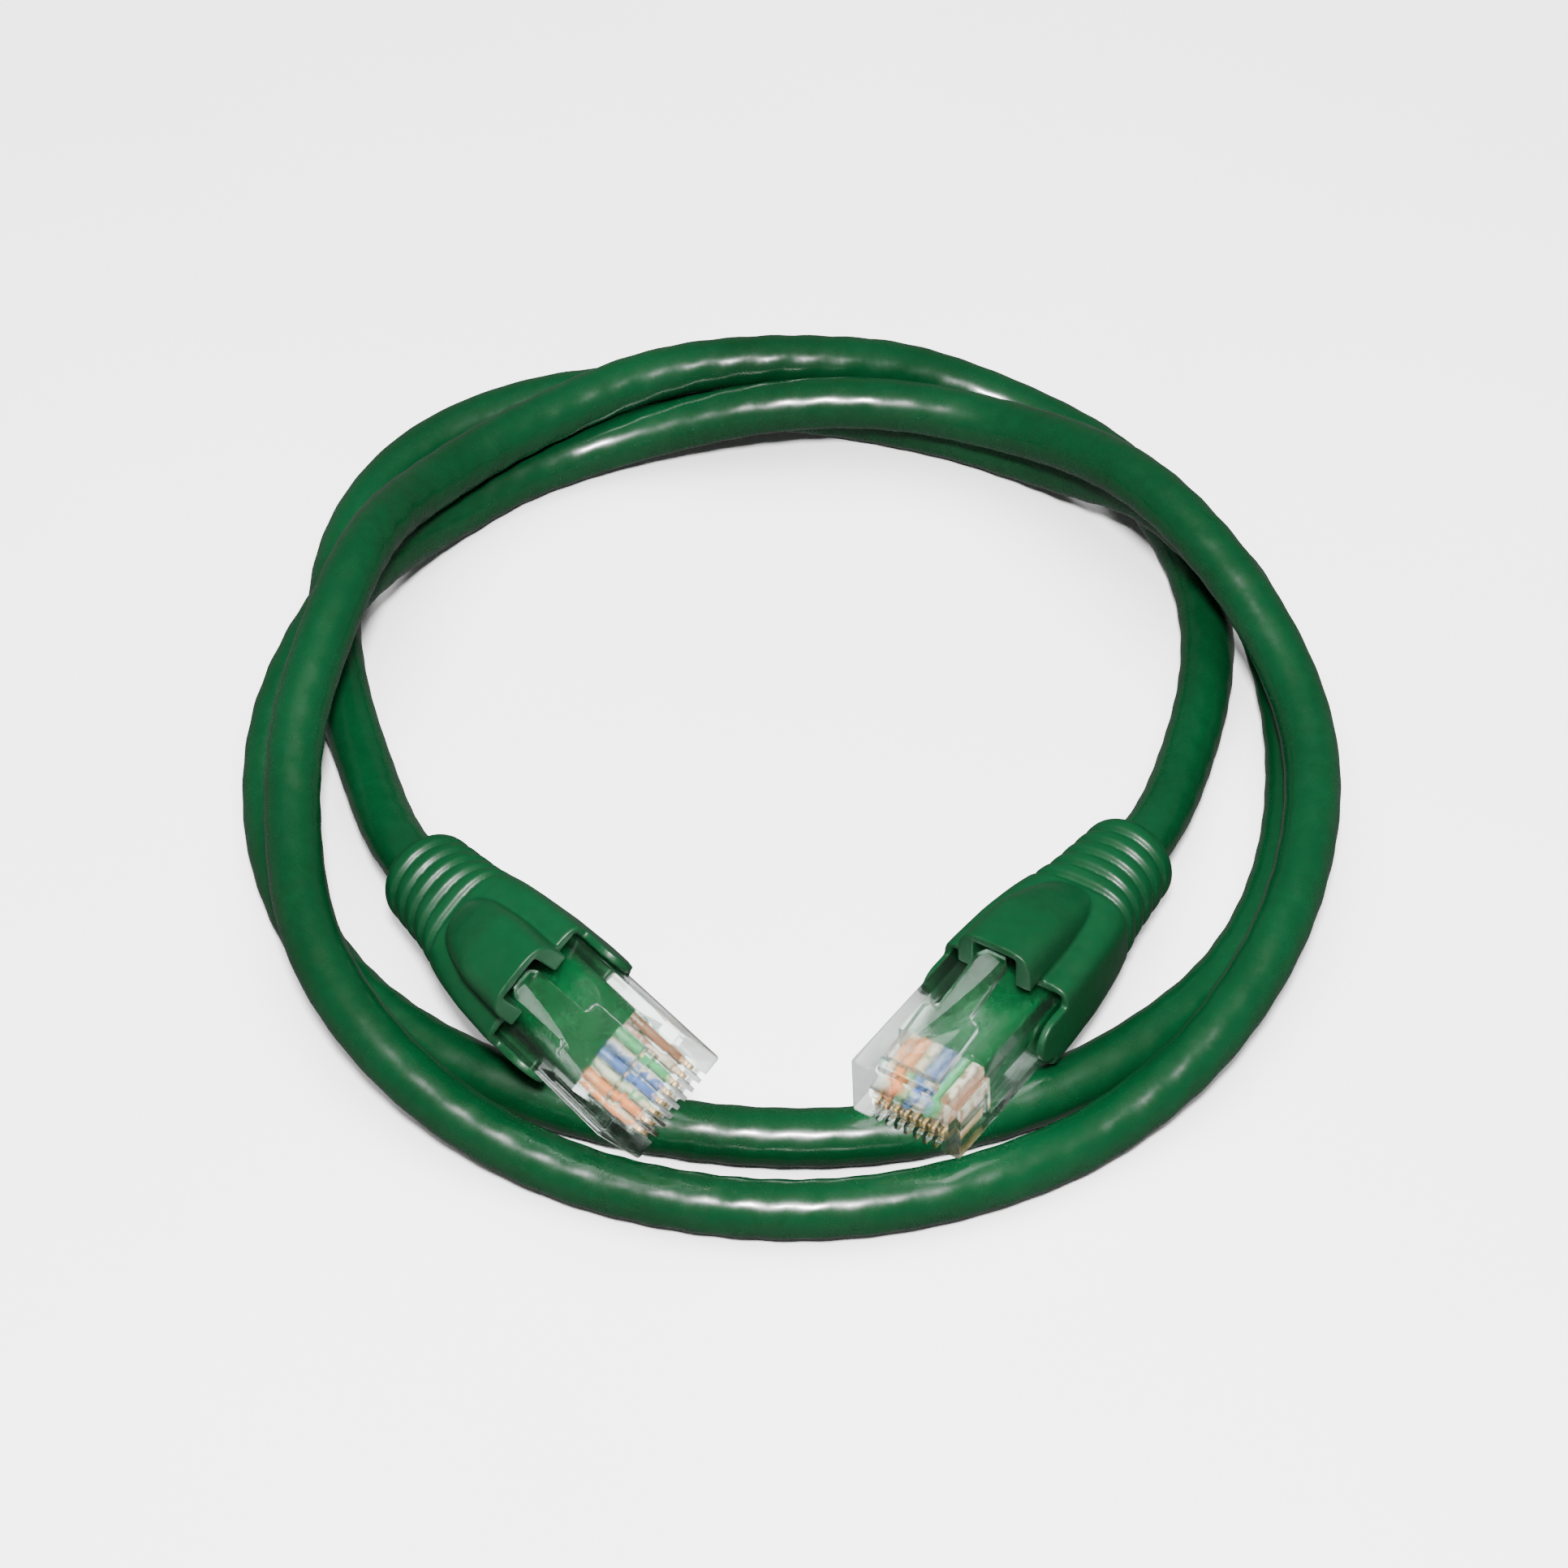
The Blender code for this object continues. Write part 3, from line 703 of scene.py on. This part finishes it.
def boot_mesh():
    body = smooth_table([
        (-40.5, 4.2, -4.2, 4.2, 2.0), (-40.1, 4.75, -4.75, 4.75, 2.0),
        (-33.0, 5.3, -4.9, 4.9, 2.3), (-30.5, 5.7, -4.7, 4.7, 2.8),
        (-27.5, 6.2, -4.5, 4.5, 4.0), (-23.0, 6.6, -4.4, 4.4, 6.0),
        (-18.0, 6.8, -4.4, 4.4, 7.0), (TONGUE_TIP, 6.8, -4.4, 4.4, 7.0),
    ], 0.2, 1.0)
    for k in range(RIB_COUNT):
        away = np.abs(body[:, 0] - (FIRST_RIB + k * RIB_PITCH))
        cut = RIB_DEPTH * ease(1.35 * (1 - away / RIB_HALF))
        body[:, 1] -= cut
        body[:, 2] += cut
        body[:, 3] -= cut
    hood = smooth_table([
        (-31.0, 2.2, 0.5, 3.6, 2.4), (-28.5, 2.9, 0.5, 5.2, 2.6),
        (-26.0, 3.4, 0.5, 6.6, 3.0), (-21.5, 3.9, 0.5, 8.25, 3.6),
        (-15.0, 4.0, 0.5, 8.65, 3.8),
    ], 0.3, 1.5)
    tongue = [(-10.0, -2.6), (-10.0, 2.6), (-14.9, 2.6), (-14.9, 2.3)]
    for turn in np.radians(np.linspace(90, -90, 17)):
        tongue.append((-15.0 + 2.3 * np.cos(turn), 2.3 * np.sin(turn)))
    tongue += [(-14.9, -2.3), (-14.9, -2.6)]
    bore = loft([(-42, 3.0, -3.0, 3.0, 2), (-21, 3.0, -3.0, 3.0, 2)], 48)
    made = carve(loft(body, 88), [
        ("UNION", loft(hood, 56)),
        ("DIFFERENCE", box((-21.9, -10), (-6.0, 6.0), (-3.45, 3.45))),
        ("DIFFERENCE", box((-20, -10), (-2.3, 2.3), (3.0, 7.75))),
        ("DIFFERENCE", box((-17, -10), (-8, 8), (2.3, 4.5))),
        ("DIFFERENCE", box((-15.3, -10), (-8, 8), (-5, -2.3))),
        ("DIFFERENCE", plate(tongue, 16.0, STAND_IN_XZ)),
        ("DIFFERENCE", bore),
    ])
    obj = add("soft_boot", made)
    grid = obj.modifiers.new("grid", "REMESH")
    grid.mode = "VOXEL"
    grid.voxel_size = MM * VOXEL
    relax = obj.modifiers.new("relax", "SMOOTH")
    relax.factor = 0.5
    relax.iterations = 5
    thin = obj.modifiers.new("thin", "DECIMATE")
    thin.ratio = 0.4
    soft = settled(obj)
    soft.shade_smooth()
    return soft


# ----------------------------------------------------------------- housings
def housing_mesh():
    body = softened(box((-21.5, 0), (-5.84, 5.84), (-3.3, 3.3)), 0.3, 3)
    root = plate(
        [(-1.05, 2.9), (-1.05, 4.55), (-0.6, 4.6), (-0.25, 4.1), (-0.2, 2.9)],
        6.0, STAND_IN_XZ,
    )
    steps = [
        ("UNION", root),
        ("DIFFERENCE", box((-22.5, CAVITY_FRONT), (-4.6, 4.6), (-2.75, 2.75))),
        ("DIFFERENCE", box((CAVITY_FRONT - 0.5, -1.0), (-4.25, 4.25), (-1.15, -0.05))),
        ("DIFFERENCE", box((-16.0, -11.5), (-3.2, 3.2), (-4.0, -3.0))),
    ]
    slot = [
        (-6.0, -4.0), (0.5, -4.0), (0.5, -2.3), (-0.8, -2.0), (-0.8, -0.9),
        (-6.0, -0.9),
    ]
    for number in range(1, 9):
        blade = plate(slot, 0.62, STAND_IN_XZ)
        blade.transform(
            Matrix.Translation((0, MM * (number - 4.5) * CONTACT_PITCH, 0))
        )
        steps.append(("DIFFERENCE", blade))
    made = carve(body, steps)
    made.shade_smooth()
    made.set_sharp_from_angle(angle=np.radians(30))
    return made


def latch_mesh():
    hinge_x, _, _ = LATCH_HINGE
    half = [
        (-1.4, 2.95), (-7.9, 2.95), (-8.3, 2.6), (-8.3, 1.95), (-8.6, 1.65),
        (-15.0, 1.6), (-15.8, 1.0),
    ]
    outline = half + [(x, -y) for x, y in half[::-1]]
    outline = [(x - hinge_x, y) for x, y in outline]
    slope = Matrix.Rotation(np.radians(LATCH_SLOPE), 4, "Y")
    return softened(plate(outline, 0.95, slope), 0.14, 3)


def placed(name, mesh, place, paint):
    mesh = mesh.copy()
    mesh.transform(place)
    return add(name, mesh, paint)


boot_skin = boot_mesh()
housing_skin = housing_mesh()
latch_skin = latch_mesh()
on_cable = []
for side, plug in PLUGS.items():
    place = Matrix.Translation(MM * Vector(in_plug(plug, (0, 0, 0))))
    place = place @ Matrix(turned(plug).tolist()).to_4x4()
    boot = placed(f"boot_skin_{side}", boot_skin, place, BOOT)
    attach(boot, "cable")
    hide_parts(f"boot_{side}")
    housing = placed(f"housing_skin_{side}", housing_skin, place, CLEAR)
    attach(housing, "cable")
    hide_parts(f"plug_housing_{side}")
    hinge = Matrix.Translation(MM * Vector(LATCH_HINGE))
    latch = placed(f"latch_skin_{side}", latch_skin, place @ hinge, CLEAR)
    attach(latch, f"latch_{side}")
    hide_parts(f"latch_{side}")
    on_cable += [boot, housing, latch]
    # Light falls through the clear plastic onto the jacket and the wires.
    housing.visible_shadow = latch.visible_shadow = False
    for number in range(1, 9):
        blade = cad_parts[f"contact_{number}_{side}"]
        for place_of in blade.material_slots:
            place_of.material = GOLD
        on_cable.append(blade)

# ------------------------------------------------------------------- studio
WORLD_STRENGTH = 0.16
FLASH = {"place": (0.0, -0.2, 0.38), "size": 0.05, "power": 6.0}
OVERHEAD = {"place": (0.0, 0.1, 1.1), "size": 1.4, "power": 43.0}

floor_paint, floor_tree, floor_shader = nodes_of("paper")
floor_tree.links.new(
    ramp(
        floor_tree, noise_field(floor_tree, 14, 3.0),
        [(0.3, (0.86, 0.86, 0.86)), (0.7, (0.9, 0.9, 0.9))],
    ),
    floor_shader.inputs["Base Color"],
)
set_sockets(floor_shader, {"Roughness": 0.85, "Specular IOR Level": 0.2})
floor = add("floor", box((-1500, 1500), (-1500, 1500), (-20, -0.01)), floor_paint)
# The floor lights the cable but leaves no white rim along its underside.
floor.visible_glossy = False

world = bpy.data.worlds.new("studio")
bpy.context.scene.world = world
world.use_nodes = True
set_sockets(
    world.node_tree.nodes["Background"],
    {"Color": (1, 1, 1, 1), "Strength": WORLD_STRENGTH},
)


def lamp(name, place, size, power):
    """A disk lamp at a place measured from the camera's target, aimed at it."""
    light = bpy.data.lights.new(name, "AREA")
    light.shape = "DISK"
    light.size = size
    light.energy = power
    obj = add(name, light)
    point_at(obj, TARGET + np.array(place), TARGET)
    return obj


lamp("flash", **FLASH)
overhead = lamp("overhead", **OVERHEAD)
overhead.visible_glossy = False
